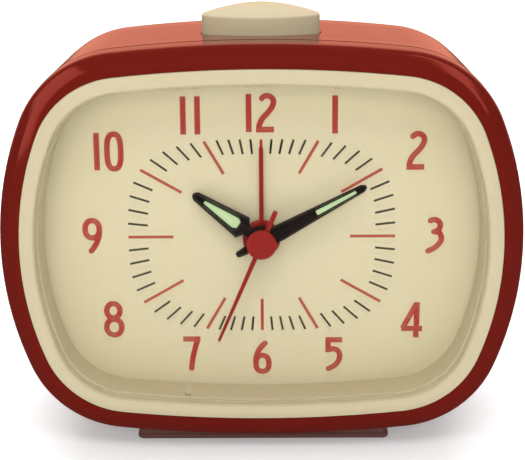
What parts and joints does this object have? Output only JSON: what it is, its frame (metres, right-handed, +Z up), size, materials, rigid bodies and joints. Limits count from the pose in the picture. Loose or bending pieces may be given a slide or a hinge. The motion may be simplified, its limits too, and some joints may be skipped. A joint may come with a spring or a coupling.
{
  "type": "travel alarm clock",
  "caption": "Battery travel alarm clock with a rounded screen-shaped case, cream bezel and dial, clear lens, top snooze bar, foot, setting knobs and removable battery door.",
  "frame": {"origin": "on the table, at the middle of the clock's bounding box", "axes": "+X to the right of the dial, +Y from the dial to the back, +Z up"},
  "size_m": [0.1086, 0.0524, 0.0927],
  "materials": {
    "red_plastic": "high gloss moulded red",
    "foot_plastic": "satin dark red",
    "cream_plastic": "satin cream",
    "dial_card": "matt printed cream card",
    "clear_lens": "clear polished",
    "black_paint": "satin black",
    "red_paint": "satin red",
    "lume": "matt luminous paint",
    "black_plastic": "fine moulded texture",
    "white_plastic": "natural moulded",
    "steel": "plated",
    "brass": "plain",
    "copper": "enamelled wire",
    "circuit_green": "solder mask",
    "cell_sleeve": "printed sleeve",
    "magnet": "sintered"
  },
  "bodies": {
    "case": {"front_shell": "red_plastic", "rear_shell": "red_plastic", "bezel": "cream_plastic", "lens": "clear_lens", "base_foot": "foot_plastic", "case_screw_1": "steel", "case_screw_2": "steel", "case_screw_3": "steel", "case_screw_4": "steel", "foot_screw_1": "steel", "foot_screw_2": "steel", "button_board": "circuit_green", "tact_switch": "black_plastic", "snooze_spring": "steel", "dial": "dial_card", "dial_carrier": "black_plastic", "carrier_screw_1": "steel", "carrier_screw_2": "steel", "movement_screw_1": "steel", "movement_screw_2": "steel", "movement_front_case": "black_plastic", "movement_middle_plate": "white_plastic", "movement_back_case": "black_plastic", "stator": "steel", "coil_core": "steel", "coil_bobbin": "black_plastic", "coil_winding": "copper", "circuit_board": "circuit_green", "quartz_crystal": "steel", "alarm_contact": "brass", "aa_battery": "cell_sleeve", "positive_contact": "steel", "negative_contact": "steel", "positive_lead": "red_plastic", "negative_lead": "black_plastic", "buzzer_cup": "black_plastic", "buzzer_disc": "brass", "dial_lamp": "white_plastic"},
    "snooze_bar": {"snooze_button": "cream_plastic"},
    "back_door": {"battery_door": "red_plastic"},
    "alarm_slider": {"alarm_switch": "black_plastic"},
    "second_arbor": {"second_hand": "red_paint", "second_hand_cap": "red_paint", "seconds_wheel": "white_plastic"},
    "minute_arbor": {"minute_hand": "black_paint", "minute_hand_lume": "lume", "cannon_pinion": "brass"},
    "hour_arbor": {"hour_hand": "black_paint", "hour_hand_lume": "lume", "hour_wheel": "white_plastic"},
    "alarm_arbor": {"alarm_hand": "red_paint", "alarm_wheel": "white_plastic"},
    "time_setter": {"time_set_knob": "black_plastic", "time_setting_wheel": "white_plastic"},
    "alarm_setter": {"alarm_set_knob": "black_plastic", "alarm_setting_pinion": "white_plastic"},
    "centre_arbor": {"centre_wheel": "white_plastic"},
    "third_arbor": {"third_wheel": "white_plastic"},
    "intermediate_arbor": {"intermediate_wheel": "white_plastic"},
    "rotor_arbor": {"rotor": "magnet"}
  },
  "joints": [
    {"name": "second_hand_spin", "type": "hinge", "parent": "case", "child": "second_arbor", "pos_m": [0, 0, 0.0455], "axis": [0, 1, 0], "continuous": true},
    {"name": "minute_hand_spin", "type": "hinge", "parent": "case", "child": "minute_arbor", "pos_m": [0, 0, 0.0455], "axis": [0, 1, 0], "continuous": true},
    {"name": "alarm_hand_spin", "type": "hinge", "parent": "case", "child": "alarm_arbor", "pos_m": [0, 0, 0.0455], "axis": [0, 1, 0], "continuous": true},
    {"name": "hour_hand_spin", "type": "hinge", "parent": "case", "child": "hour_arbor", "pos_m": [0, 0, 0.0455], "axis": [0, 1, 0], "continuous": true},
    {"name": "time_knob_spin", "type": "hinge", "parent": "case", "child": "time_setter", "pos_m": [-0.0094, 0, 0.04891], "axis": [0, 1, 0], "continuous": true},
    {"name": "alarm_knob_spin", "type": "hinge", "parent": "case", "child": "alarm_setter", "pos_m": [0.0094, 0, 0.04891], "axis": [0, 1, 0], "continuous": true},
    {"name": "centre_wheel_spin", "type": "hinge", "parent": "case", "child": "centre_arbor", "pos_m": [0, 0, 0.0455], "axis": [0, 1, 0], "continuous": true},
    {"name": "third_wheel_spin", "type": "hinge", "parent": "case", "child": "third_arbor", "pos_m": [0, 0, 0.0383], "axis": [0, 1, 0], "continuous": true},
    {"name": "intermediate_wheel_spin", "type": "hinge", "parent": "case", "child": "intermediate_arbor", "pos_m": [0, 0, 0.0527], "axis": [0, 1, 0], "continuous": true},
    {"name": "rotor_spin", "type": "hinge", "parent": "case", "child": "rotor_arbor", "pos_m": [-0.0046, 0, 0.05701], "axis": [0, 1, 0], "continuous": true},
    {"name": "snooze_press", "type": "slide", "parent": "case", "child": "snooze_bar", "axis": [0, 0, -1], "range_m": [0, 0.0016], "stiffness_N_per_m": 400, "springref_m": -0.0004, "deforming": ["snooze_spring"]},
    {"name": "alarm_switch_slide", "type": "slide", "parent": "case", "child": "alarm_slider", "axis": [0, 0, 1], "range_m": [0, 0.005]},
    {"name": "battery_door_pull", "type": "slide", "parent": "case", "child": "back_door", "axis": [0, 1, 0], "range_m": [0, 0.03]}
  ],
  "couplings": [
    {"joint": "intermediate_wheel_spin", "follows": "second_hand_spin", "ratio": -5},
    {"joint": "rotor_spin", "follows": "second_hand_spin", "ratio": 30},
    {"joint": "third_wheel_spin", "follows": "second_hand_spin", "ratio": -0.125},
    {"joint": "centre_wheel_spin", "follows": "second_hand_spin", "ratio": 0.016667},
    {"joint": "time_knob_spin", "follows": "minute_hand_spin", "ratio": -0.33333},
    {"joint": "hour_hand_spin", "follows": "minute_hand_spin", "ratio": 0.083333},
    {"joint": "alarm_knob_spin", "follows": "alarm_hand_spin", "ratio": -3}
  ]
}
